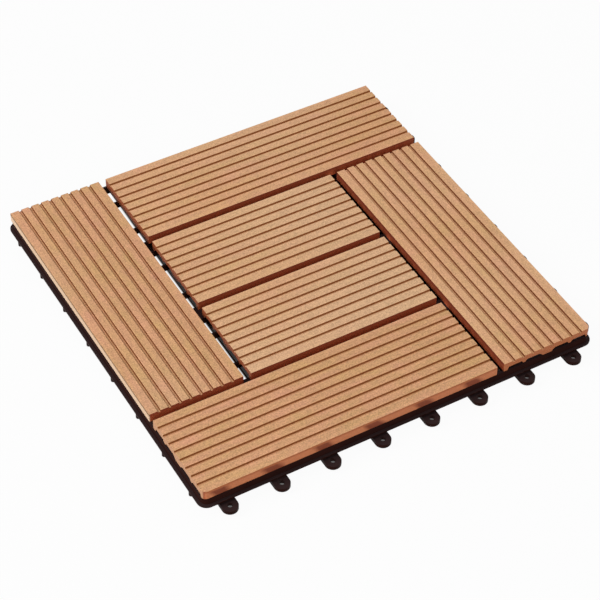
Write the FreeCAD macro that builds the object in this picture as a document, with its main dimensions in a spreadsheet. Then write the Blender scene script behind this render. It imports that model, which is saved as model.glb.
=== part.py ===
import FreeCAD, Part
import os
import Sketcher

# An interlocking deck tile. Six grooved slats lie in a pinwheel on one moulded grid
# and are screwed to it from below. Flat rings stand out along the front and right
# edges, and pins hang under the left and back edges: the pins of one tile drop into
# the rings of the next.
#
# Millimetres. The origin is on the ground in the middle of the square that one tile
# takes up in a deck. +X is right, +Y is back and +Z is up.

# Counts that the layout stands on.
ROWS = 4
LINKS = 8
GROOVES = 8

# Driving sizes: a word for each and its value.
SIZES = [
    # The square of one tile, from joint to joint.
    ("module_side", 300.0),
    # The moulded grid: its height, its ribs and the lip round its foot.
    ("base_height", 15.0),
    ("rib_depth", 5.2),
    ("rib_thickness", 1.5),
    ("pair_offset", 5.2),
    ("inner_offset", 15.7),
    ("lip_clearance", 0.3),
    ("lip_thickness", 1.1),
    ("lip_corner_radius", 7.0),
    ("wall_inset", 2.5),
    ("wall_thickness", 1.8),
    ("inner_corner_cut", 2.0),
    # Feet under the crossings of the ribs.
    ("foot_side", 4.6),
    ("node_foot_radius", 4.4),
    ("node_foot_top_radius", 5.2),
    # Rings and the pins that fit them.
    ("ring_bottom", 3.7),
    ("ring_thickness", 3.0),
    ("ring_radius", 5.6),
    ("ring_hole_radius", 1.9),
    ("ring_reach", 2.2),
    ("ring_root", 8.5),
    ("pin_clearance", 0.2),
    ("pin_tip_height", 4.0),
    ("pin_tip_taper", 0.6),
    # Screw bosses and screws.
    ("boss_radius", 4.6),
    ("screw_radius", 1.75),
    ("screw_length", 9.6),
    ("screw_point", 2.2),
    ("screw_head_radius", 3.5),
    ("screw_head_height", 2.4),
    ("screw_head_edge", 0.9),
    ("recess_reach", 1.9),
    ("recess_width", 0.9),
    ("recess_depth", 1.3),
    ("boss_hole_clearance", 0.35),
    ("pilot_clearance", 0.03),
    ("pilot_end_room", 0.2),
    # The slat's section.
    ("slat_gap", 5.6),
    ("slat_thickness", 7.0),
    ("slat_corner_radius", 3.5),
    ("end_wall", 3.0),
    ("roof_height", 2.7),
    ("edge_leg_foot", 3.0),
    ("edge_leg_root", 4.0),
    ("small_leg_offset", 18.3),
    ("small_leg_height", 1.9),
    ("small_leg_foot", 1.5),
    ("small_leg_root", 4.4),
    ("centre_leg_foot", 6.6),
    ("centre_leg_root", 12.4),
    ("groove_pitch", 7.7),
    ("groove_width", 2.3),
    ("groove_floor", 1.5),
    ("groove_depth", 1.3),
    ("groove_shift", 0.25),
]

# The pinwheel: name, axis that the slat runs along, first column, first row, squares.
SLATS = [
    ("left_slat", "Y", 0, 1, 3),
    ("front_slat", "X", 0, 0, 3),
    ("right_slat", "Y", 3, 0, 3),
    ("back_slat", "X", 1, 3, 3),
    ("middle_front_slat", "X", 1, 1, 2),
    ("middle_back_slat", "X", 1, 2, 2),
]

# Ends of slats whose channels stop short of the end face: -1 for the slat's start.
CLOSED_ENDS = {"left_slat": -1, "front_slat": 1, "right_slat": 1, "back_slat": -1}

# Slats with a rounded corner, at their start on their first side.
ROUNDED = ["front_slat", "right_slat"]

doc = FreeCAD.newDocument("deck_tile")
sheet = doc.addObject("Spreadsheet::Sheet", "Sizes")
for line, (alias, number) in enumerate(SIZES, start=1):
    sheet.set("A%d" % line, alias)
    sheet.set("B%d" % line, str(number))
    sheet.setAlias("B%d" % line, alias)
doc.recompute()

# Sizes that follow from the driving ones, as expressions.
HALF = "(Sizes.module_side / 2)"
PITCH = "(Sizes.module_side / %d)" % ROWS
LINK_PITCH = "(Sizes.module_side / %d)" % LINKS
LIP_EDGE = "(%s - Sizes.lip_clearance)" % HALF
WALL_EDGE = "(%s - Sizes.wall_inset)" % HALF
WALL_INNER = "(%s - Sizes.wall_thickness)" % WALL_EDGE
WALL_CORNER = "(Sizes.lip_corner_radius - Sizes.wall_inset + Sizes.lip_clearance)"
WALL_MIDDLE = "(%s - Sizes.wall_thickness / 2)" % WALL_EDGE
INNER_CORNER = "(%s - Sizes.inner_corner_cut)" % WALL_INNER
RIB_BOTTOM = "(Sizes.base_height - Sizes.rib_depth)"
LIP_BOTTOM = "(%s - Sizes.lip_thickness)" % RIB_BOTTOM
HALF_RIB = "(Sizes.rib_thickness / 2)"
NODE_HALF = "(Sizes.pair_offset + %s)" % HALF_RIB
FIRST_JOINT = "(%s - %s)" % (PITCH, HALF)
FIRST_CENTRE = "(%s / 2 - %s)" % (PITCH, HALF)
FIRST_LINK = "(%s / 2 - %s)" % (LINK_PITCH, HALF)
RING_OUT = "(%s + Sizes.ring_reach)" % HALF
RING_IN = "(%s - Sizes.ring_root)" % HALF
PIN_PLACE = "(%s - Sizes.ring_reach)" % HALF
PIN_RADIUS = "(Sizes.ring_hole_radius - Sizes.pin_clearance)"
SLAT_WIDTH = "(%s - Sizes.slat_gap)" % PITCH
ROOF = "Sizes.roof_height"
PILOT_DEPTH = "(Sizes.screw_length - Sizes.rib_depth + Sizes.pilot_end_room)"


def value(expression):
    """The number that an expression on the sheet comes to."""
    return float(sheet.evalExpression(expression))


def minus(expression):
    """The same expression with its sign turned."""
    return "-1 * %s" % expression


def new_body(name):
    """An empty body with its name as its label."""
    body = doc.addObject("PartDesign::Body", name)
    body.Label = name
    return body


def datum(body, role):
    """An origin plane or axis of a body."""
    return [item for item in body.Origin.OriginFeatures if item.Role == role][0]


def new_sketch(body, name, plane="XY_Plane", height="0"):
    """A sketch on an origin plane, raised along the plane's normal."""
    sketch = body.newObject("Sketcher::SketchObject", name)
    sketch.AttachmentSupport = [(datum(body, plane), "")]
    sketch.MapMode = "FlatFace"
    sketch.setExpression("AttachmentOffset.Base.z", height)
    return sketch


def fix_distance(sketch, kind, element, end, expression):
    """Tie one coordinate of a point in a sketch to an expression."""
    rule = Sketcher.Constraint(kind, -1, 1, element, end, value(expression))
    index = sketch.addConstraint(rule)
    sketch.setExpression("Constraints[%d]" % index, expression)


def fix_point(sketch, element, end, x, y):
    """Tie a point of a sketch to two expressions, measured from the origin."""
    fix_distance(sketch, "DistanceX", element, end, x)
    fix_distance(sketch, "DistanceY", element, end, y)


def add_outline(sketch, corners):
    """A closed outline of straight lines through corners given as expressions."""
    points = [FreeCAD.Vector(value(x), value(y), 0) for x, y in corners]
    first = sketch.GeometryCount
    count = len(points)
    for place in range(count):
        sketch.addGeometry(Part.LineSegment(points[place], points[(place + 1) % count]))
    for place in range(count):
        after = first + (place + 1) % count
        sketch.addConstraint(Sketcher.Constraint("Coincident", first + place, 2, after, 1))
    for place, (x, y) in enumerate(corners):
        fix_point(sketch, first + place, 1, x, y)


def add_rectangle(sketch, left, front, right, back):
    """A closed rectangle between four expressions."""
    add_outline(sketch, [(left, front), (right, front), (right, back), (left, back)])


def add_circle(sketch, x, y, radius):
    """A circle with its centre and radius given as expressions."""
    centre = FreeCAD.Vector(value(x), value(y), 0)
    circle = Part.Circle(centre, FreeCAD.Vector(0, 0, 1), value(radius))
    element = sketch.addGeometry(circle)
    fix_point(sketch, element, 3, x, y)
    index = sketch.addConstraint(Sketcher.Constraint("Radius", element, value(radius)))
    sketch.setExpression("Constraints[%d]" % index, radius)


def add_rounded_square(sketch, half, radius):
    """A square about the origin whose corners are arcs."""
    first = sketch.GeometryCount
    straight = "(%s - %s)" % (half, radius)
    reach = value(half)
    run = value(straight)
    right_angle = 90
    for quarter in range(4):
        turn = FreeCAD.Rotation(FreeCAD.Vector(0, 0, 1), right_angle * quarter)
        start = turn.multVec(FreeCAD.Vector(reach, -run, 0))
        end = turn.multVec(FreeCAD.Vector(reach, run, 0))
        middle = turn.multVec(FreeCAD.Vector(run, run, 0))
        bulge = turn.multVec(FreeCAD.Vector(1, 1, 0)).normalize() * value(radius)
        after = turn.multVec(FreeCAD.Vector(run, reach, 0))
        sketch.addGeometry(Part.LineSegment(start, end))
        sketch.addGeometry(Part.Arc(end, middle + bulge, after))
    signs = [("", "-"), ("", ""), ("-", ""), ("-", "-")]
    for quarter in range(4):
        line = first + 2 * quarter
        arc = line + 1
        following = first + (2 * quarter + 2) % 8
        sketch.addConstraint(Sketcher.Constraint("Coincident", line, 2, arc, 1))
        sketch.addConstraint(Sketcher.Constraint("Coincident", arc, 2, following, 1))
        across = quarter % 2 == 0
        sign_x, sign_y = signs[quarter]
        x = half if across else straight
        y = straight if across else half
        fix_point(sketch, line, 1, "%s1 * %s" % (sign_x, x), "%s1 * %s" % (sign_y, y))
        end_x, end_y = signs[(quarter + 1) % 4]
        fix_point(sketch, line, 2, "%s1 * %s" % (end_x, x), "%s1 * %s" % (end_y, y))
        rule = Sketcher.Constraint("Radius", arc, value(radius))
        index = sketch.addConstraint(rule)
        sketch.setExpression("Constraints[%d]" % index, radius)


def pad(body, name, sketch, length, both_ways=False):
    """Raise a sketch into a solid along its normal, or half each way."""
    feature = body.newObject("PartDesign::Pad", name)
    feature.Profile = sketch
    feature.Refine = False
    feature.setExpression("Length", length)
    feature.Midplane = both_ways
    doc.recompute()
    return feature


def pocket(body, name, sketch, length, both_ways=False, upward=False):
    """Cut a sketch out of a body, downward from the sketch unless told otherwise."""
    feature = body.newObject("PartDesign::Pocket", name)
    feature.Profile = sketch
    feature.Refine = False
    feature.setExpression("Length", length)
    feature.Midplane = both_ways
    feature.Reversed = upward
    doc.recompute()
    return feature


def repeat(body, name, features, axis, spacing, count, second_axis=None, second_count=1):
    """Repeat features along one axis, or along two at the same spacing."""
    pattern = body.newObject("PartDesign::LinearPattern", name)
    pattern.Originals = features
    pattern.Refine = False
    pattern.Direction = (datum(body, axis), [""])
    pattern.Mode = "Spacing"
    pattern.setExpression("Offset", spacing)
    pattern.Occurrences = count
    if second_axis:
        pattern.Direction2 = (datum(body, second_axis), [""])
        pattern.Mode2 = "Spacing"
        pattern.setExpression("Offset2", spacing)
        pattern.Occurrences2 = second_count
    body.Tip = pattern
    doc.recompute()
    return pattern


def cone(body, name, x, y, bottom, height, radius, top_radius):
    """An upright cone or cylinder added to a body."""
    feature = body.newObject("PartDesign::AdditiveCone", name)
    feature.Refine = False
    feature.AttachmentSupport = [(datum(body, "XY_Plane"), "")]
    feature.MapMode = "FlatFace"
    feature.setExpression("AttachmentOffset.Base.x", x)
    feature.setExpression("AttachmentOffset.Base.y", y)
    feature.setExpression("AttachmentOffset.Base.z", bottom)
    feature.setExpression("Radius1", radius)
    feature.setExpression("Radius2", top_radius)
    feature.setExpression("Height", height)
    doc.recompute()
    return feature


def screw_offsets(squares):
    """Places of a slat's screws along it, from its middle, as expressions."""
    if squares == 3:
        near = "Sizes.inner_offset"
        far = "(%s + Sizes.inner_offset)" % PITCH
        return [minus(far), minus(near), near, far]
    near = "(%s / 2 + Sizes.inner_offset)" % PITCH
    return [minus(near), near]


def slat_middle(axis, column, row, squares):
    """The middle of a slat on the tile, as a pair of expressions."""
    across = "(%s * %s - %s)"
    if axis == "X":
        return across % (PITCH, column + squares / 2, HALF), across % (PITCH, row + 0.5, HALF)
    return across % (PITCH, column + 0.5, HALF), across % (PITCH, row + squares / 2, HALF)


def screw_places(axis, column, row, squares):
    """Where the screws of one slat stand on the tile."""
    middle_x, middle_y = slat_middle(axis, column, row, squares)
    places = []
    for offset in screw_offsets(squares):
        if axis == "X":
            places.append(("%s + %s" % (middle_x, offset), middle_y))
        else:
            places.append((middle_x, "%s + %s" % (middle_y, offset)))
    return places


# The moulded grid is made of runs of like shapes that are joined at the end. First its
# rim: an upright wall with a lip round its foot.
rim = new_body("rim")
inner_corners = [
    (minus(WALL_INNER), minus(INNER_CORNER)),
    (minus(INNER_CORNER), minus(WALL_INNER)),
    (INNER_CORNER, minus(WALL_INNER)),
    (WALL_INNER, minus(INNER_CORNER)),
    (WALL_INNER, INNER_CORNER),
    (INNER_CORNER, WALL_INNER),
    (minus(INNER_CORNER), WALL_INNER),
    (minus(WALL_INNER), INNER_CORNER),
]
lip_sketch = new_sketch(rim, "lip_outline", height=LIP_BOTTOM)
add_rounded_square(lip_sketch, LIP_EDGE, "Sizes.lip_corner_radius")
add_outline(lip_sketch, inner_corners)
pad(rim, "lip", lip_sketch, "Sizes.lip_thickness")
wall_sketch = new_sketch(rim, "wall_outline", height=RIB_BOTTOM)
add_rounded_square(wall_sketch, WALL_EDGE, WALL_CORNER)
add_outline(wall_sketch, inner_corners)
pad(rim, "wall", wall_sketch, "Sizes.rib_depth")


def add_ribs(name, along):
    """Ribs from wall to wall: a pair at each joint of slats, two under each slat."""
    body = new_body(name)
    runs = [
        ("pairs", FIRST_JOINT, "Sizes.pair_offset", ROWS - 1),
        ("inner", FIRST_CENTRE, "Sizes.inner_offset", ROWS),
    ]
    for kind, middle, offset, count in runs:
        sketch = new_sketch(body, "%s_%s_outline" % (name, kind), height=RIB_BOTTOM)
        for side in ("-", "+"):
            low = "%s %s %s - %s" % (middle, side, offset, HALF_RIB)
            high = "%s %s %s + %s" % (middle, side, offset, HALF_RIB)
            if along == "X":
                add_rectangle(sketch, minus(WALL_MIDDLE), low, WALL_MIDDLE, high)
            else:
                add_rectangle(sketch, low, minus(WALL_MIDDLE), high, WALL_MIDDLE)
        ribs = pad(body, "%s_%s" % (name, kind), sketch, "Sizes.rib_depth")
        axis = "Y_Axis" if along == "X" else "X_Axis"
        repeat(body, "%s_%s_row" % (name, kind), [ribs], axis, PITCH, count)
    return body


def build_nodes():
    """A closed square where two pairs of ribs cross, on a stout foot."""
    body = new_body("nodes")
    sketch = new_sketch(body, "node_outline", height=RIB_BOTTOM)
    low = "%s - %s" % (FIRST_JOINT, NODE_HALF)
    high = "%s + %s" % (FIRST_JOINT, NODE_HALF)
    add_rectangle(sketch, low, low, high, high)
    block = pad(body, "node", sketch, "Sizes.rib_depth")
    foot = cone(body, "node_foot", FIRST_JOINT, FIRST_JOINT, "0", RIB_BOTTOM,
                "Sizes.node_foot_radius", "Sizes.node_foot_top_radius")
    repeat(body, "node_rows", [block, foot], "X_Axis", PITCH, ROWS - 1, "Y_Axis", ROWS - 1)
    return body


def build_feet():
    """A slimmer foot under each crossing of the inner ribs, four to a square."""
    body = new_body("feet")
    sketch = new_sketch(body, "foot_outlines")
    half = "Sizes.foot_side / 2"
    for side_x in ("-", "+"):
        for side_y in ("-", "+"):
            x = "%s %s Sizes.inner_offset" % (FIRST_CENTRE, side_x)
            y = "%s %s Sizes.inner_offset" % (FIRST_CENTRE, side_y)
            corner = ("%s - %s" % (x, half), "%s - %s" % (y, half))
            opposite = ("%s + %s" % (x, half), "%s + %s" % (y, half))
            add_rectangle(sketch, corner[0], corner[1], opposite[0], opposite[1])
    four = pad(body, "four_feet", sketch, RIB_BOTTOM)
    repeat(body, "foot_rows", [four], "X_Axis", PITCH, ROWS, "Y_Axis", ROWS)
    return body


def build_rings(name, along):
    """Rings on tongues that reach out from under the rim, repeated along one edge."""
    def rectangle(sketch, inner, outer):
        low = "%s - Sizes.ring_radius" % FIRST_LINK
        high = "%s + Sizes.ring_radius" % FIRST_LINK
        if along == "X":
            add_rectangle(sketch, low, minus(outer), high, minus(inner))
        else:
            add_rectangle(sketch, inner, low, outer, high)

    body = new_body(name)
    centre_x, centre_y = (FIRST_LINK, minus(RING_OUT)) if along == "X" else (RING_OUT, FIRST_LINK)
    root_sketch = new_sketch(body, name + "_root_outline", height="Sizes.ring_bottom")
    rectangle(root_sketch, RING_IN, WALL_EDGE)
    root = pad(body, name + "_root", root_sketch, "%s - Sizes.ring_bottom" % RIB_BOTTOM)
    tongue_sketch = new_sketch(body, name + "_tongue_outline", height="Sizes.ring_bottom")
    rectangle(tongue_sketch, RING_IN, RING_OUT)
    tongue = pad(body, name + "_tongue", tongue_sketch, "Sizes.ring_thickness")
    disc_sketch = new_sketch(body, name + "_disc_outline", height="Sizes.ring_bottom")
    add_circle(disc_sketch, centre_x, centre_y, "Sizes.ring_radius")
    disc = pad(body, name + "_disc", disc_sketch, "Sizes.ring_thickness")
    axis = along + "_Axis"
    repeat(body, name + "_row", [root, tongue, disc], axis, LINK_PITCH, LINKS)
    ring_top = "Sizes.ring_bottom + Sizes.ring_thickness"
    eye_sketch = new_sketch(body, name + "_eye_outline", height=ring_top)
    add_circle(eye_sketch, centre_x, centre_y, "Sizes.ring_hole_radius")
    eye = pocket(body, name + "_eye", eye_sketch, "Sizes.ring_thickness")
    repeat(body, name + "_eyes", [eye], axis, LINK_PITCH, LINKS)
    return body


def build_pins(name, x, y, along):
    """Pins with tapered tips under the rim, repeated along one edge."""
    body = new_body(name)
    shank_bottom = "(Sizes.pin_tip_height + Sizes.pin_tip_taper)"
    shank_height = "%s + Sizes.lip_thickness / 2 - %s" % (LIP_BOTTOM, shank_bottom)
    tip_radius = "%s - Sizes.pin_tip_taper" % PIN_RADIUS
    tip = cone(body, name + "_tip", x, y, "Sizes.pin_tip_height", "Sizes.pin_tip_taper",
               tip_radius, PIN_RADIUS)
    shank = cone(body, name + "_shank", x, y, shank_bottom, shank_height,
                 PIN_RADIUS, PIN_RADIUS)
    repeat(body, name + "_row", [tip, shank], along + "_Axis", LINK_PITCH, LINKS)
    return body


def build_discs(name, radius):
    """Discs through the ribs' depth, one at the place of every screw."""
    body = new_body(name)
    sketch = new_sketch(body, name + "_outlines", height=RIB_BOTTOM)
    for slat_name, axis, column, row, squares in SLATS:
        for screw_x, screw_y in screw_places(axis, column, row, squares):
            add_circle(sketch, screw_x, screw_y, radius)
    pad(body, name + "_discs", sketch, "Sizes.rib_depth")
    return body


runs = [
    rim,
    add_ribs("ribs_across", "X"),
    add_ribs("ribs_along", "Y"),
    build_nodes(),
    build_feet(),
    build_rings("front_rings", "X"),
    build_rings("right_rings", "Y"),
    build_pins("left_pins", minus(PIN_PLACE), FIRST_LINK, "Y"),
    build_pins("back_pins", FIRST_LINK, PIN_PLACE, "X"),
    build_discs("bosses", "Sizes.boss_radius"),
]
boss_holes = build_discs("boss_holes", "Sizes.screw_radius + Sizes.boss_hole_clearance")


def round_corner(body, name, plank, length, edge):
    """Round the upright edge of a plank where its start meets its first side."""
    corner = FreeCAD.Vector(-value(length) / 2, -value(edge), value("Sizes.slat_thickness") / 2)
    gaps = [side.CenterOfMass.distanceToPoint(corner) for side in plank.Shape.Edges]
    nearest = gaps.index(min(gaps)) + 1
    feature = body.newObject("PartDesign::Fillet", name)
    feature.Base = (plank, ["Edge%d" % nearest])
    feature.Refine = False
    feature.setExpression("Radius", "Sizes.slat_corner_radius")
    doc.recompute()


def build_slat(name, axis, column, row, squares):
    """A slat with grooves on top and channels between its legs below."""
    body = new_body(name)
    length = "(%s * %d - Sizes.slat_gap)" % (PITCH, squares)
    beyond = "%s + 2 * Sizes.slat_gap" % length
    edge = "(%s / 2)" % SLAT_WIDTH

    plank_sketch = new_sketch(body, name + "_section", "YZ_Plane")
    add_rectangle(plank_sketch, minus(edge), "0", edge, "Sizes.slat_thickness")
    plank = pad(body, name + "_plank", plank_sketch, length, both_ways=True)
    if name in ROUNDED:
        round_corner(body, name + "_rounding", plank, length, edge)

    groove_sketch = new_sketch(body, name + "_groove_section", "YZ_Plane")
    first_groove = "Sizes.groove_shift - Sizes.groove_pitch * %s" % ((GROOVES - 1) / 2)
    top = "Sizes.slat_thickness"
    floor = "Sizes.slat_thickness - Sizes.groove_depth"
    above = "Sizes.slat_thickness + Sizes.groove_depth"
    groove_corners = [
        ("%s - Sizes.groove_floor / 2" % first_groove, floor),
        ("%s + Sizes.groove_floor / 2" % first_groove, floor),
        ("%s + Sizes.groove_width / 2" % first_groove, top),
        ("%s + Sizes.groove_width / 2" % first_groove, above),
        ("%s - Sizes.groove_width / 2" % first_groove, above),
        ("%s - Sizes.groove_width / 2" % first_groove, top),
    ]
    add_outline(groove_sketch, groove_corners)
    groove = pocket(body, name + "_groove", groove_sketch, beyond, both_ways=True)
    repeat(body, name + "_grooves", [groove], "Y_Axis", "Sizes.groove_pitch", GROOVES)

    closed = CLOSED_ENDS.get(name, 0)
    start = "%d * (%s / 2 - Sizes.end_wall)" % (closed, length)
    channel_sketch = new_sketch(body, name + "_channel_section", "YZ_Plane", start)
    small_foot = "%s - Sizes.small_leg_height" % ROOF
    for side in ("1", "-1"):
        corners = [
            ("%s - Sizes.edge_leg_foot" % edge, "0"),
            ("%s - Sizes.edge_leg_root" % edge, ROOF),
            ("Sizes.small_leg_offset + Sizes.small_leg_root / 2", ROOF),
            ("Sizes.small_leg_offset + Sizes.small_leg_foot / 2", small_foot),
            ("Sizes.small_leg_offset - Sizes.small_leg_foot / 2", small_foot),
            ("Sizes.small_leg_offset - Sizes.small_leg_root / 2", ROOF),
            ("Sizes.centre_leg_root / 2", ROOF),
            ("Sizes.centre_leg_foot / 2", "0"),
        ]
        add_outline(channel_sketch, [("%s * (%s)" % (side, y), z) for y, z in corners])
    pocket(body, name + "_channels", channel_sketch, beyond, closed == 0, closed == -1)

    pilot_sketch = new_sketch(body, name + "_pilot_outlines")
    for offset in screw_offsets(squares):
        add_circle(pilot_sketch, offset, "0", "Sizes.screw_radius + Sizes.pilot_clearance")
    pocket(body, name + "_pilots", pilot_sketch, PILOT_DEPTH, upward=True)

    middle_x, middle_y = slat_middle(axis, column, row, squares)
    body.setExpression("Placement.Base.x", middle_x)
    body.setExpression("Placement.Base.y", middle_y)
    body.setExpression("Placement.Base.z", "Sizes.base_height")
    body.setExpression("Placement.Rotation.Angle", "0" if axis == "X" else "90")
    return body


def build_screw():
    """A pan-head screw with a cross recess, point up, its head's seat at zero."""
    body = new_body("screw")
    sketch = new_sketch(body, "screw_section", "XZ_Plane")
    corners = [
        ("0", minus("Sizes.screw_head_height")),
        ("Sizes.screw_head_radius - Sizes.screw_head_edge", minus("Sizes.screw_head_height")),
        ("Sizes.screw_head_radius", minus("Sizes.screw_head_edge")),
        ("Sizes.screw_head_radius", "0"),
        ("Sizes.screw_radius", "0"),
        ("Sizes.screw_radius", "Sizes.screw_length - Sizes.screw_point"),
        ("0", "Sizes.screw_length"),
    ]
    add_outline(sketch, corners)
    turned = body.newObject("PartDesign::Revolution", "screw_turned")
    turned.Profile = sketch
    turned.ReferenceAxis = (sketch, ["V_Axis"])
    full_turn = 360
    turned.Angle = full_turn
    doc.recompute()
    recess_sketch = new_sketch(body, "recess_outline", height=minus("Sizes.screw_head_height"))
    reach = "Sizes.recess_reach"
    half_width = "(Sizes.recess_width / 2)"
    quarter = [(reach, minus(half_width)), (reach, half_width), (half_width, half_width)]
    cross = list(quarter)
    for turns in range(3):
        quarter = [(minus("(%s)" % y), x) for x, y in quarter]
        cross.extend(quarter)
    add_outline(recess_sketch, cross)
    pocket(body, "recess", recess_sketch, "Sizes.recess_depth", upward=True)
    return body


def place_screws(name, screw, axis, column, row, squares):
    """The screws of one slat as one group of separate solids."""
    copies = []
    for screw_x, screw_y in screw_places(axis, column, row, squares):
        copy = screw.Shape.copy()
        copy.translate(FreeCAD.Vector(value(screw_x), value(screw_y), value(RIB_BOTTOM)))
        copies.append(copy)
    group = doc.addObject("Part::Feature", name)
    group.Label = name
    group.Shape = Part.makeCompound(copies)
    return group


pieces = []
screw = build_screw()
for name, axis, column, row, squares in SLATS:
    pieces.append(build_slat(name, axis, column, row, squares))
for name, axis, column, row, squares in SLATS:
    pieces.append(place_screws(name + "_screws", screw, axis, column, row, squares))

# The runs of the grid are joined last, and the screws' holes go through the join.
joined = doc.addObject("Part::MultiFuse", "joined_grid")
joined.Shapes = runs
joined.Refine = True
base = doc.addObject("Part::Cut", "base_grid")
base.Label = "base_grid"
base.Base = joined
base.Tool = boss_holes
pieces.insert(0, base)
doc.recompute()

# Nothing is written unless every feature came out whole and every cut took something.
for item in doc.Objects:
    if "Invalid" in item.State or "Error" in item.State:
        raise RuntimeError("%s did not build: %s" % (item.Name, item.State))
    if item.TypeId == "PartDesign::Pocket":
        if item.Shape.Volume >= item.BaseFeature.Shape.Volume:
            raise RuntimeError("%s cuts nothing" % item.Name)
for piece in pieces:
    if piece.Shape.isNull() or not piece.Shape.isValid():
        raise RuntimeError("%s has no valid shape" % piece.Label)

os.makedirs("parts", exist_ok=True)
for piece in pieces:
    piece.Shape.exportStep("parts/%s.step" % piece.Label)
    box = piece.Shape.BoundBox
    print("%-26s %2d solids  %9.1f mm3  %6.1f x %6.1f x %5.1f" % (
        piece.Label, len(piece.Shape.Solids), piece.Shape.Volume,
        box.XLength, box.YLength, box.ZLength))
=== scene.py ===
# %% [markdown]
# # An interlocking deck tile
# The tile is a square of six grooved slats of brushed composite, laid in a pinwheel on
# a black plastic grid. Rings stand out along two edges and pins hang under the other
# two, so that tiles click together. The solids come from the CAD model, already in
# metres and in place. This lesson gives them soft edges, their finishes, and a camera,
# lights and a floor like those of a catalogue picture.

import math

import bmesh
import bpy
from mathutils import Matrix, Vector


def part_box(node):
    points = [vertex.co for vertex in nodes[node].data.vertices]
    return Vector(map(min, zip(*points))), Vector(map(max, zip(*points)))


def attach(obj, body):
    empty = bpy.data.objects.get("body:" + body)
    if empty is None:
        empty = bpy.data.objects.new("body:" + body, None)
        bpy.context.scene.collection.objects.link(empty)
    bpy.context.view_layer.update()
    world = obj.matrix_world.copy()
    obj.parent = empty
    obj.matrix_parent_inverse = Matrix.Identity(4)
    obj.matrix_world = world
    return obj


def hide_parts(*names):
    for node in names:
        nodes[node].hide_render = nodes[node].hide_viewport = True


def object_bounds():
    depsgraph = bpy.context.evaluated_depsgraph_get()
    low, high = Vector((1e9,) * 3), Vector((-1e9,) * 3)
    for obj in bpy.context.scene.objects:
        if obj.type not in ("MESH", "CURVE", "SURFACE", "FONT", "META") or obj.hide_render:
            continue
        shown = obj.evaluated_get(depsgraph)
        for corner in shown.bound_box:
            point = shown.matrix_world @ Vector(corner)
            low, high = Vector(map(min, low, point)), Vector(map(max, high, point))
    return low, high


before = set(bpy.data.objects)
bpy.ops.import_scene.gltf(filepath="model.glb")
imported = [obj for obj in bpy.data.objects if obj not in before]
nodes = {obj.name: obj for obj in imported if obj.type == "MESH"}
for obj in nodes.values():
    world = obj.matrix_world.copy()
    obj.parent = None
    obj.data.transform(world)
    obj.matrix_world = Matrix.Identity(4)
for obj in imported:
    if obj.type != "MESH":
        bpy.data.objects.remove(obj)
cad_low, cad_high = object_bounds()
print("The CAD model has", len(nodes), "nodes and is", [round(s, 4) for s in cad_high - cad_low], "m")

# %% [markdown]
# ## Places of the slats
# Every slat covers two or three squares of a four by four board. Its box tells which way
# it runs and where its middle line lies. Both matter to its finish: the grain of the
# composite and the brush marks lie along the slat, and the skin inside the grooves is
# darker than the brushed ridges between them.

# %% Read the slats' boxes
SLATS = ["left_slat", "front_slat", "right_slat", "back_slat", "middle_front_slat", "middle_back_slat"]
TOP = cad_high.z
GROOVE_DEPTH = 0.0013
GROOVE_REACH = 0.031


def slat_line(node):
    """The axis that a slat runs along and the place of its middle line."""
    low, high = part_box(node)
    size = Vector(high) - Vector(low)
    middle = (Vector(high) + Vector(low)) / 2
    return ("X", middle.y) if size.x > size.y else ("Y", middle.x)


LINES = {node: slat_line(node) for node in SLATS}
print("The slats run along", {node: line[0] for node, line in LINES.items()})

# %% [markdown]
# ## Soft edges
# An extruded and sanded slat has no knife edges, and neither has a moulding. The CAD
# solids do have them, so a copy of each is merged into clean faces and its sharp edges
# are bevelled. A Bevel modifier would do as well, but the CAD mesh is loose triangles,
# and a bevel needs whole faces: merging doubles and dissolving flat joints comes first.

# %% A helper that softens the edges of a solid


def softened(node, name, width, segments, smooth_below):
    """A copy of a CAD node with its doubles merged, its flats joined and its edges bevelled."""
    mesh = bpy.data.meshes.new(name)
    shell = bmesh.new()
    shell.from_mesh(nodes[node].data)
    bmesh.ops.remove_doubles(shell, verts=shell.verts, dist=1e-6)
    bmesh.ops.dissolve_limit(
        shell, angle_limit=math.radians(1), verts=shell.verts, edges=shell.edges,
        use_dissolve_boundaries=False, delimit=set())
    sharpest = math.radians(30)
    edges = [e for e in shell.edges if e.is_manifold and e.calc_face_angle(0) > sharpest]
    bmesh.ops.bevel(
        shell, geom=edges, offset=width, offset_type="OFFSET", segments=segments,
        profile=0.5, material=-1, affect="EDGES", clamp_overlap=True)
    shell.to_mesh(mesh)
    faces = len(shell.faces)
    shell.free()
    mesh.shade_smooth()
    mesh.set_sharp_from_angle(angle=math.radians(smooth_below))
    piece = bpy.data.objects.new(name, mesh)
    bpy.context.scene.collection.objects.link(piece)
    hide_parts(node)
    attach(piece, "root")
    print(name, "has", faces, "faces and", len(edges), "softened edges")
    return piece


# %% Soften the slats
slat_pieces = {}
for node in SLATS:
    slat_pieces[node] = softened(node, node + "_brushed", width=0.00025, segments=2, smooth_below=15)

# %% Soften the grid
grid_piece = softened("base_grid", "base_grid_moulded", width=0.0002, segments=1, smooth_below=25)

# %% [markdown]
# ## Shader maths as Python
# A node tree is easier to read as an expression. This small class wraps a socket, and
# its operators add the Math nodes, so that `1 - mask * 0.4` means what it says.

# %% A class that writes node trees


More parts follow.
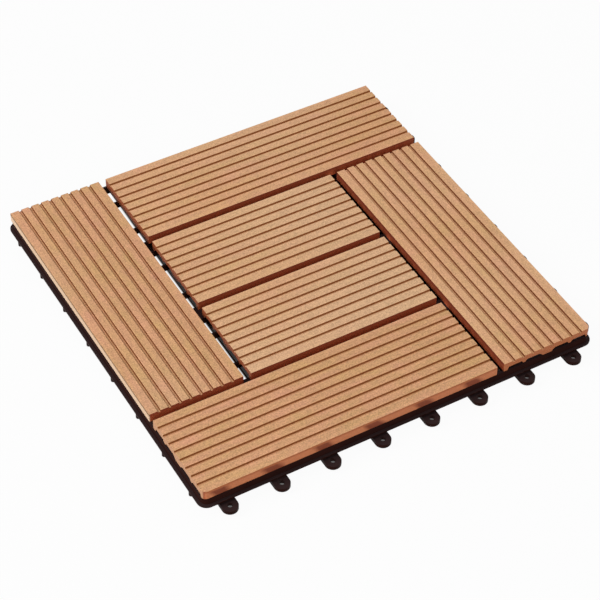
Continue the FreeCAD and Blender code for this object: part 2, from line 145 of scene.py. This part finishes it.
class Wire:
    """An output socket of a node tree, with arithmetic."""

    def __init__(self, tree, socket):
        self.tree = tree
        self.socket = socket

    def node(self, kind, settings=None, **inputs):
        """Adds a node, gives it its settings, then fills its sockets by name or number."""
        made = self.tree.nodes.new(kind)
        for key, setting in (settings or {}).items():
            setattr(made, key, setting)
        for key, filling in inputs.items():
            place = int(key[1:]) if key[0] == "i" and key[1:].isdigit() else key.replace("_", " ")
            target = made.inputs[place]
            if isinstance(filling, Wire):
                self.tree.links.new(filling.socket, target)
            else:
                target.default_value = filling
        return made

    def wire(self, kind, settings=None, output=0, **inputs):
        """The same, but it returns one output as a Wire."""
        return Wire(self.tree, self.node(kind, settings, **inputs).outputs[output])

    def math(self, operation, *terms):
        """A Math node on these terms alone, so the wire itself is named among them."""
        inputs = {"i%d" % place: term for place, term in enumerate(terms)}
        return self.wire("ShaderNodeMath", {"operation": operation}, **inputs)

    def __add__(self, other):
        return self.math("ADD", self, other)

    def __radd__(self, other):
        return self.math("ADD", other, self)

    def __sub__(self, other):
        return self.math("SUBTRACT", self, other)

    def __rsub__(self, other):
        return self.math("SUBTRACT", other, self)

    def __mul__(self, other):
        return self.math("MULTIPLY", self, other)

    def __rmul__(self, other):
        return self.math("MULTIPLY", other, self)

    def size(self):
        """The value without its sign."""
        return self.math("ABSOLUTE", self)

    def step(self, low, high):
        """A ramp from 0 at low to 1 at high."""
        return self.wire(
            "ShaderNodeMapRange", {"clamp": True}, i0=self, i1=low, i2=high, i3=0.0, i4=1.0)

    def mix(self, first, second):
        """A colour between two colours, with this wire as the factor."""
        return self.wire(
            "ShaderNodeMix", {"data_type": "RGBA"}, output=2, i0=self, i6=first, i7=second)

    def scaled(self, factor):
        """A colour or vector made longer or shorter."""
        return self.wire("ShaderNodeVectorMath", {"operation": "SCALE"}, i0=self, Scale=factor)

    def times(self, vector):
        """A colour or vector multiplied part by part."""
        return self.wire("ShaderNodeVectorMath", {"operation": "MULTIPLY"}, i0=self, i1=vector)

    def parts(self):
        """The three parts of a vector."""
        split = self.node("ShaderNodeSeparateXYZ", Vector=self)
        return [Wire(self.tree, split.outputs[part]) for part in range(3)]

    def noise(self, scale, detail=2.0, roughness=0.5):
        """Smooth noise round 0 at the place that this vector tells."""
        value = self.wire("ShaderNodeTexNoise", {"noise_dimensions": "3D"},
                          Vector=self, Scale=scale, Detail=detail, Roughness=roughness)
        return value - 0.5


def new_material(name, **constants):
    """A material whose shader has these constants on its own sockets."""
    material = bpy.data.materials.new(name)
    material.use_nodes = True
    tree = material.node_tree
    shader = tree.nodes["Principled BSDF"]
    for key, constant in constants.items():
        shader.inputs[key.replace("_", " ")].default_value = constant
    place = Wire(tree, tree.nodes.new("ShaderNodeTexCoord").outputs["Object"])
    return material, shader, place


def feed(shader, socket, wire):
    """Links a wire into a socket of the shader."""
    wire.tree.links.new(wire.socket, shader.inputs[socket])


# %% [markdown]
# ## Brushed composite
# The slats are extruded from wood flour and plastic. Their tops are brushed, which
# leaves a pale, dry surface: fine scratches along the slat, specks of wood flour, and
# patches that lean to pink or to straw. Some slats are paler, partly by their own tone
# and partly by a painted highlight. The edges of the ridges get a painted highlight. The
# floors of the grooves are painted a little darker, as painted shade, and their walls keep
# the dark skin of the extrusion with painted shade over it. The slat's sides are a
# red-brown skin, darker near the top; inside the gaps they carry painted shade, on some
# faces lightened lower down by painted light, and the faces towards the left lamp are
# painted pale, a painted sheen. On the front slat a patch of painted shade runs down beside
# each ring, where the ring blocks the light that the floor throws back. A ridge, a groove's
# floor and its wall are told apart by their height and by the way they face, so the finish
# needs no seams or extra slots.

# %% Where the finish of a slat changes
LEVEL_FACING = (0.80, 0.95)
WALL_FACING = (0.45, 0.80)
ABOVE_HALF_DEPTH = (TOP - GROOVE_DEPTH * 0.6, TOP - GROOVE_DEPTH * 0.4)
ABOVE_GROOVE_FLOOR = (TOP - GROOVE_DEPTH - 0.0004, TOP - GROOVE_DEPTH - 0.0002)
INSIDE_THE_SIDES = (GROOVE_REACH + 0.0002, GROOVE_REACH)


def slat_zones(place, facing, node):
    """Masks from 0 to 1: faces of the top, the floors of the grooves and their walls."""
    run, middle = LINES[node]
    x, y, z = place.parts()
    face_x, face_y, face_z = facing.parts()
    across = (y if run == "X" else x) - middle
    face_across = face_y if run == "X" else face_x
    level = face_z.step(*LEVEL_FACING)
    raised = z.step(*ABOVE_HALF_DEPTH)
    grooved = z.step(*ABOVE_GROOVE_FLOOR)
    inside = across.size().step(*INSIDE_THE_SIDES)
    wall = face_across.size().step(*WALL_FACING) * grooved * inside
    return level * raised, level * (1 - raised) * grooved, wall


# %% Colours and places of the slats' skins
OLIVE_STRAW = (0.585, 0.340, 0.145, 1)
PINK_STRAW = (0.655, 0.322, 0.185, 1)
# A pale straw: the slats' own paler tone, with a painted highlight in it.
PALE_STRAW_AND_SHEEN = (0.670, 0.420, 0.242, 1)
# The groove walls: dark extrusion skin with painted shade over it, darker on slats along Y, whose
# walls face the left lamp.
GROOVE_SKIN_AND_SHADE = {"X": (0.270, 0.081, 0.015, 1), "Y": (0.156, 0.041, 0.007, 1)}
FRONT_SKIN = (0.600, 0.197, 0.080, 1)
FRONT_RIM = (0.425, 0.115, 0.035, 1)
RIGHT_FRONT_SKIN = (0.475, 0.146, 0.052, 1)
# Painted shade beside the rings on the front face.
FRONT_SHADE_COLOUR = (0.235, 0.050, 0.017, 1)
# Faces inside the gaps: painted shade near the top, and painted light lower down against the gap's
# shade; the slat ends beside the left slat get an even painted shade.
INNER_RIM_SHADE = (0.285, 0.050, 0.019, 1)
INNER_DEEP_LIGHT = (0.700, 0.165, 0.058, 1)
INNER_END_SHADE = (0.330, 0.088, 0.032, 1)
INNER_SIDE_RIM_SHADE = (0.190, 0.034, 0.013, 1)
INNER_SIDE_DEEP_LIGHT = (0.530, 0.120, 0.045, 1)
# Outer faces towards the left lamp are painted pale, a painted sheen over the lamp's own light; the
# left slat's face is darker in a band at its top.
LEFT_FACE_SHEEN = (0.770, 0.535, 0.355, 1)
LEFT_EDGE = (0.185, 0.088, 0.028, 1)
LEFT_END_SHEEN = (0.560, 0.290, 0.155, 1)
# Painted shade: the groove floors are a darker copy of the ridge colour.
GROOVE_FLOOR_SHADE = (0.93, 0.86, 0.80)
AT_TILE_EDGE = (0.1464, 0.1468)
LEFT_FACING = (0.4, 0.8)

# Depths below the top, in metres, over which a skin changes.
FRONT_RIM_DEPTH = (0.0006, 0.0024)
LEFT_EDGE_DEPTH = (0.0006, 0.0026)
INNER_DEPTH = (0.0007, 0.0056)
INNER_END_DEPTH = (0.0015, 0.0063)

# %% Painted shade on the front face
# Patches of painted shade, where each ring blocks the light that the floor throws back onto the face.
# They run down beside each ring's tongue and lean to one side.
LINK_PITCH = 0.0375
FIRST_LINK = -0.13125
FRONT_SHADE_OFFSET = -0.0067
FRONT_SHADE_LEAN = 0.6
FRONT_SHADE_WANDER = 0.006
FRONT_SHADE_WIDTH = (0.0080, 0.0038)
FRONT_SHADE_START = (0.0009, 0.0024)


def with_front_shade(place, skin, patches):
    """A skin, darker at its rim, with an uneven red-brown patch of painted shade at each tongue."""
    x, _, z = place.parts()
    depth = TOP - z
    skin = depth.step(*FRONT_RIM_DEPTH).mix(FRONT_RIM, skin)
    along = x - depth * FRONT_SHADE_LEAN - (FIRST_LINK + FRONT_SHADE_OFFSET)
    away = along.math("PINGPONG", along, LINK_PITCH / 2) + patches * FRONT_SHADE_WANDER
    return (away.step(*FRONT_SHADE_WIDTH) * depth.step(*FRONT_SHADE_START)).mix(skin, FRONT_SHADE_COLOUR)


# %% Painted highlights on the edges of the ridges
GROOVE_PITCH = 0.0077
GROOVE_SHIFT = {"X": 0.00025, "Y": -0.00025}
EDGE_HIGHLIGHT_BAND = (0.0015, 0.0023)


def edge_highlights(place, node):
    """1 beside each groove, where the edges of the ridges get a painted highlight."""
    run, middle = LINES[node]
    x, y, _ = place.parts()
    across = (y if run == "X" else x) - (middle + GROOVE_SHIFT[run])
    from_ridge = across.math("PINGPONG", across, GROOVE_PITCH / 2)
    return from_ridge.step(*EDGE_HIGHLIGHT_BAND)


# %% The finish of the slats
SCRATCH_SCALE = 330
BAND_SCALE = 28
FLOUR_SCALE = 1150
PATCH_SCALE = 85
STREAK_SCALE = 40
DRIFT_SCALE = 9
SCRATCH_MARK = 0.60
FLOUR_MARK = 1.05
BAND_MARK = 0.18
EDGE_HIGHLIGHT_MARK = 0.05
SIDE_MARK = 0.35
PATCH_PINK = 0.9
STREAK_PINK = 1.3
DRIFT_PALENESS = 1.2
ALONG_THE_GRAIN = {"X": (1, 6, 6), "Y": (6, 1, 6)}


def composite(node, paleness_and_sheen, tone, seed, inner, front, left, left_edge):
    """Brushed wood composite, with its marks along the slat and its own stretch of noise."""
    material, shader, place = new_material(node + "_composite", Roughness=0.6)
    shader.inputs["Specular IOR Level"].default_value = 0.3
    facing = place.wire("ShaderNodeTexCoord", output="Normal")
    top, floor, wall = slat_zones(place, facing, node)
    run = LINES[node][0]
    shifted = place.wire(
        "ShaderNodeVectorMath", {"operation": "ADD"}, i0=place, i1=(seed, seed * 0.7, 0))
    grain = shifted.times(ALONG_THE_GRAIN[run])

    scratches = grain.noise(SCRATCH_SCALE, detail=2.0, roughness=0.6)
    bands = grain.noise(BAND_SCALE, detail=1.0)
    flour = shifted.noise(FLOUR_SCALE, detail=1.0, roughness=0.6)
    patches = shifted.noise(PATCH_SCALE, detail=1.0)
    streaks = grain.scaled(0.5).noise(STREAK_SCALE, detail=1.0)
    drift = shifted.noise(DRIFT_SCALE, detail=0.0)

    pink = (patches * PATCH_PINK + streaks * STREAK_PINK + 0.5).step(0.0, 1.0)
    # Paler ridges: a random drift and each slat's own tone, plus a painted highlight that is strongest
    # on the middle front slat.
    pale_and_sheen = (drift * DRIFT_PALENESS + paleness_and_sheen).step(0.0, 1.0)
    ridge = pale_and_sheen.mix(pink.mix(OLIVE_STRAW, PINK_STRAW), PALE_STRAW_AND_SHEEN)
    mark = scratches * SCRATCH_MARK + flour * FLOUR_MARK + bands * BAND_MARK
    # Painted highlight: the edges of the ridges beside each groove are painted paler.
    mark = mark + edge_highlights(place, node) * EDGE_HIGHLIGHT_MARK
    ridge = ridge.scaled(mark + tone)

    x, y, z = place.parts()
    outer = (y * -1).step(*AT_TILE_EDGE)
    outer_left = (x * -1).step(*AT_TILE_EDGE)
    leftward = (facing.parts()[0] * -1).step(*LEFT_FACING)
    depth = TOP - z
    # Faces inside the gaps: painted shade at the top, lightened lower down by painted light.
    skin = depth.step(*INNER_DEPTH).mix(INNER_RIM_SHADE, INNER_DEEP_LIGHT)
    skin = leftward.mix(skin, depth.step(*INNER_END_DEPTH).mix(*inner))
    # The front slat gets a patch of painted shade beside each ring.
    front = with_front_shade(place, front, patches) if node == "front_slat" else front
    side = outer.mix(skin, front)
    # Outer left faces: painted sheen, below a darker band at the left slat's top edge.
    side = outer_left.mix(side, depth.step(*LEFT_EDGE_DEPTH).mix(left_edge, left))
    side = side.scaled(scratches * SIDE_MARK + flour * SIDE_MARK + 1.0)
    colour = top.mix(side, ridge)
    # Painted shade: the groove floors are darker than the ridges, and the walls are dark skin with
    # painted shade.
    colour = floor.mix(colour, ridge.times(GROOVE_FLOOR_SHADE))
    colour = wall.mix(colour, GROOVE_SKIN_AND_SHADE[run])
    feed(shader, "Base Color", colour)
    feed(shader, "Roughness", 0.60 + scratches * 0.30)
    bump = place.wire(
        "ShaderNodeBump", {}, Strength=0.35, Distance=0.0002, Height=scratches * 0.7 + flour * 0.5)
    feed(shader, "Normal", bump)
    return material


# %% Finish each slat
# How pale each slat's ridges are: partly the slat's own tone, partly a painted highlight of a broad
# lamp sheen, strongest on the middle front slat in the middle of the tile.
PALENESS_AND_SHEEN = {
    "left_slat": 0.05, "front_slat": 0.00, "right_slat": 0.28,
    "back_slat": 0.05, "middle_back_slat": 0.32, "middle_front_slat": 0.60,
}
TONE = {
    "left_slat": 0.97, "front_slat": 0.96, "right_slat": 1.05,
    "back_slat": 1.01, "middle_back_slat": 1.0, "middle_front_slat": 1.0,
}
for seed, node in enumerate(SLATS):
    on_right = node == "right_slat"
    inner = (INNER_SIDE_RIM_SHADE, INNER_SIDE_DEEP_LIGHT) if on_right else (INNER_END_SHADE, INNER_END_SHADE)
    front = RIGHT_FRONT_SKIN if on_right else FRONT_SKIN
    left, left_edge = (LEFT_FACE_SHEEN, LEFT_EDGE) if node == "left_slat" else (LEFT_END_SHEEN, LEFT_END_SHEEN)
    material = composite(
        node, PALENESS_AND_SHEEN[node], TONE[node], 0.37 * (seed + 1), inner, front, left, left_edge)
    slat_pieces[node].data.materials.append(material)
    nodes[node].data.materials.clear()
    nodes[node].data.materials.append(material)
print("Finished", len(slat_pieces), "slats")

# %% [markdown]
# ## Black polypropylene
# The grid is moulded in black polypropylene with a faint brown cast. Its upward faces,
# such as the tops of the rings, are painted a little paler, as a painted sheen. It is
# smooth but not polished: a fine bump breaks up its shine, and a slow noise changes the
# shine from place to place, as on any moulding.

# %% The finish of the grid
NEAR_BLACK = (0.0165, 0.0045, 0.0034, 1)
BROWN_BLACK = (0.0245, 0.0068, 0.0050, 1)
UPWARD_SHEEN_BLACK = (0.0340, 0.0190, 0.0190, 1)
UPWARD_FACING = (0.5, 0.95)
FLOW_SCALE = 55
SKIN_SCALE = 900


def black_moulding(name):
    """Black plastic with a brown cast and a low, uneven shine."""
    material, shader, place = new_material(name, Roughness=0.35)
    shader.inputs["Specular IOR Level"].default_value = 0.02
    flow = place.noise(FLOW_SCALE)
    skin = place.noise(SKIN_SCALE)
    upward = place.wire("ShaderNodeTexCoord", output="Normal").parts()[2].step(*UPWARD_FACING)
    moulded = (flow * 2.0 + 0.5).step(0.0, 1.0).mix(NEAR_BLACK, BROWN_BLACK)
    # Upward faces are painted paler, a painted sheen.
    feed(shader, "Base Color", upward.mix(moulded, UPWARD_SHEEN_BLACK))
    feed(shader, "Roughness", 0.34 + flow * 0.25)
    bump = place.wire("ShaderNodeBump", {}, Strength=0.15, Distance=0.0002, Height=skin)
    feed(shader, "Normal", bump)
    return material


grid_finish = black_moulding("black_polypropylene")
grid_piece.data.materials.append(grid_finish)
nodes["base_grid"].data.materials.clear()
nodes["base_grid"].data.materials.append(grid_finish)
print("Finished the grid")

# %% [markdown]
# ## Steel screws
# The screws hold the slats from below. They are stainless steel with a satin finish,
# and turning marks show as a fine change of roughness.

# %% The finish of the screws
DULL_STEEL = (0.50, 0.49, 0.47, 1)
BRIGHT_STEEL = (0.64, 0.63, 0.61, 1)
TURNING_SCALE = 1200


def screw_steel(name):
    """Satin stainless steel."""
    material, shader, place = new_material(name, Metallic=1.0, Roughness=0.3)
    marks = place.noise(TURNING_SCALE, roughness=0.6)
    feed(shader, "Base Color", (marks + 0.5).mix(DULL_STEEL, BRIGHT_STEEL))
    feed(shader, "Roughness", 0.34 + marks * 0.2)
    return material


steel = screw_steel("satin_steel")
screw_nodes = [node for node in nodes if node.endswith("_screws")]
for node in screw_nodes:
    nodes[node].data.materials.clear()
    nodes[node].data.materials.append(steel)
print("Finished", len(screw_nodes), "groups of screws")

# %% [markdown]
# ## Floor
# Catalogue pictures stand on white. The floor is a plain pale plane. To the camera, and
# in reflections, most of it is an even white glow, and the rest is ordinary paint that
# keeps the soft shadow of the tile. To the light that bounces, it is all paint, so it
# adds no light of its own to the object. Under the tile the glow stops and the paint is
# painted darker, a painted shadow for the tile's own shade. The painted shadow fades out
# at the back and the right. A strip keeps its glow, a painted pool of light where light
# falls through the gap beside the left slat, and a small round painted shadow lies under
# each front ring.

# %% What the camera and reflections see


def seen(start):
    """1 on rays from the camera, in reflections and through glass, and 0 on other rays."""
    path = start.node("ShaderNodeLightPath")
    camera_ray, glossy, through = [
        Wire(start.tree, path.outputs[name])
        for name in ("Is Camera Ray", "Is Glossy Ray", "Is Transmission Ray")]
    return (camera_ray + glossy + through).step(0.0, 1.0)


# %% Where the floor gets a painted shadow
# Places are in metres. The FADE pairs and RING_SPOT tell where the shade is 0 and where 1.
SHADED_LEFT = -0.144
SHADED_FRONT = -0.141
FADE_TO_RIGHT = (0.1605, 0.1525)
FADE_TO_BACK = (0.1520, 0.1180)
CORNER_SLANT = 1.73
FADE_AT_CORNER = (-0.4082, -0.4027)
LIT_STRIP_X = (-0.082, -0.0676)
LIT_STRIP_START = -0.075
LIT_STRIP_LEAN = 0.006
UNLIT_JOINT_Y = (0.082, 0.092)
UNDER_RING = (0.0019, -0.1482)
RING_SPOT = (0.0050, 0.0018)
RING_SHADE = 0.88
SOFT_EDGE = 0.0005
PALE_PAINT = (0.62, 0.62, 0.62, 1)
# The paint under the tile is darker, a painted shadow.
SHADED_PAINT = (0.22, 0.19, 0.18, 1)


def after(coordinate, edge):
    """0 before a place and 1 after it, with a soft edge."""
    return coordinate.step(edge - SOFT_EDGE, edge + SOFT_EDGE)


def between(coordinate, low, high):
    """1 between two places and 0 outside them, with soft edges."""
    return after(coordinate, low) * (1 - after(coordinate, high))


def shaded(place):
    """How deep the painted shadow on the floor is: 1 under the tile, less at its edges, 0 outside."""
    x, y, _ = place.parts()
    along = after(x, SHADED_LEFT) * x.step(*FADE_TO_RIGHT)
    under = along * after(y, SHADED_FRONT) * y.step(*FADE_TO_BACK)
    under = under * (y - x * CORNER_SLANT).step(*FADE_AT_CORNER)
    strip = between(x - y * LIT_STRIP_LEAN, *LIT_STRIP_X) * after(y, LIT_STRIP_START)
    strip = strip * (1 - between(y, *UNLIT_JOINT_Y))
    beside = x - (FIRST_LINK + UNDER_RING[0])
    beside = beside.math("PINGPONG", beside, LINK_PITCH / 2)
    before = y - UNDER_RING[1]
    away = beside * beside + before * before
    spots = away.math("SQRT", away).step(*RING_SPOT) * along
    return under * (1 - strip) + spots * RING_SHADE


# %% A pale floor


def pale_floor(name, half, glow):
    """A square plane, painted pale, that looks white but for the object's shadow and a painted shadow
    under it.
    """
    mesh = bpy.data.meshes.new(name)
    plane = bmesh.new()
    bmesh.ops.create_grid(plane, x_segments=1, y_segments=1, size=half)
    plane.to_mesh(mesh)
    plane.free()
    floor = bpy.data.objects.new(name, mesh)
    bpy.context.scene.collection.objects.link(floor)
    material, shader, place = new_material(name + "_paint", Roughness=0.9)
    shader.inputs["Specular IOR Level"].default_value = 0.0
    shade = shaded(place)
    feed(shader, "Base Color", shade.mix(PALE_PAINT, SHADED_PAINT))
    white = place.wire("ShaderNodeEmission", Color=(1, 1, 1, 1), Strength=1.0)
    paint = Wire(place.tree, shader.outputs["BSDF"])
    share = seen(place) * (1 - shade) * glow
    mixed = place.wire("ShaderNodeMixShader", i0=share, i1=paint, i2=white)
    place.tree.links.new(mixed.socket, place.tree.nodes["Material Output"].inputs["Surface"])
    mesh.materials.append(material)
    return floor


floor = pale_floor("floor", half=6.0, glow=0.955)
print("The floor is", round(floor.dimensions.x, 1), "m wide")

# %% [markdown]
# ## Light
# A large soft lamp hangs to the left, so the left edges shine and the groove walls
# stand out. A weaker one in front keeps the front face clear, and a gentle one overhead
# evens the ridges. The world fills the rest, and it too looks white to the camera and in
# reflections. Together they light the top at a level of about one, at which a colour
# looks as it is written.

# %% World and lamps
WORLD_FILL = 0.33
world = bpy.data.worlds.new("studio")
bpy.context.scene.world = world
world.use_nodes = True
fill = world.node_tree.nodes["Background"]
fill.inputs["Color"].default_value = (1, 1, 1, 1)
fill.inputs["Strength"].default_value = WORLD_FILL
fill_wire = Wire(world.node_tree, fill.outputs["Background"])
white_wire = fill_wire.wire("ShaderNodeBackground", Color=(1, 1, 1, 1), Strength=1.0)
sky = fill_wire.wire("ShaderNodeMixShader", i0=seen(fill_wire), i1=fill_wire, i2=white_wire)
world.node_tree.links.new(sky.socket, world.node_tree.nodes["World Output"].inputs["Surface"])


def soft_lamp(name, place, aim, size, power):
    """A square softbox that looks at a point."""
    light = bpy.data.lights.new(name, "AREA")
    light.shape = "SQUARE"
    light.size = size
    light.energy = power
    lamp = bpy.data.objects.new(name, light)
    lamp.location = place
    lamp.rotation_euler = (Vector(aim) - Vector(place)).to_track_quat("-Z", "Y").to_euler()
    bpy.context.scene.collection.objects.link(lamp)
    return lamp


MIDDLE_OF_TILE = (0, 0, 0)
soft_lamp("left_softbox", place=(-1.8, 0.3, 1.5), aim=MIDDLE_OF_TILE, size=1.2, power=40)
soft_lamp("front_softbox", place=(-0.2, -2.0, 1.0), aim=MIDDLE_OF_TILE, size=1.2, power=14)
soft_lamp("overhead_softbox", place=(0.3, 0.6, 2.6), aim=MIDDLE_OF_TILE, size=2.0, power=6)
print("Three lamps and a white world")

# %% [markdown]
# ## Camera
# The camera was fitted to the corners of the six slats: it stands far off with a long
# lens, 30 degrees round to the left and 45 degrees up, and is turned by half a degree.

# %% The camera
IMAGE_WIDTH = 600


def aim_camera(azimuth, elevation, roll, distance, target, focal_pixels):
    """A camera that looks at a point, from angles in degrees, with a lens given in pixels."""
    lens = bpy.data.cameras.new("camera")
    lens.sensor_width = 36
    lens.lens = focal_pixels * lens.sensor_width / IMAGE_WIDTH
    lens.clip_start = 0.01
    a, e = math.radians(azimuth), math.radians(elevation)
    back = Vector((math.sin(a) * math.cos(e), -math.cos(a) * math.cos(e), math.sin(e)))
    right = (-back).cross(Vector((0, 0, 1))).normalized()
    up = right.cross(-back)
    turn = Matrix.Rotation(math.radians(roll), 3, back)
    axes = Matrix((turn @ right, turn @ up, back)).transposed()
    camera = bpy.data.objects.new("camera", lens)
    camera.matrix_world = Matrix.Translation(Vector(target) + back * distance) @ axes.to_4x4()
    bpy.context.scene.collection.objects.link(camera)
    bpy.context.scene.camera = camera
    return camera


camera = aim_camera(
    azimuth=-30.046, elevation=45.08, roll=0.571, distance=1.39264,
    target=(-0.010492, -0.028798, 0.022), focal_pixels=2044.4)
print("The lens is", round(camera.data.lens, 1), "mm")

# %% Colours as they are written
bpy.context.scene.view_settings.view_transform = "Standard"

# %% Sizes
print("CAD box", list(cad_low), list(cad_high))
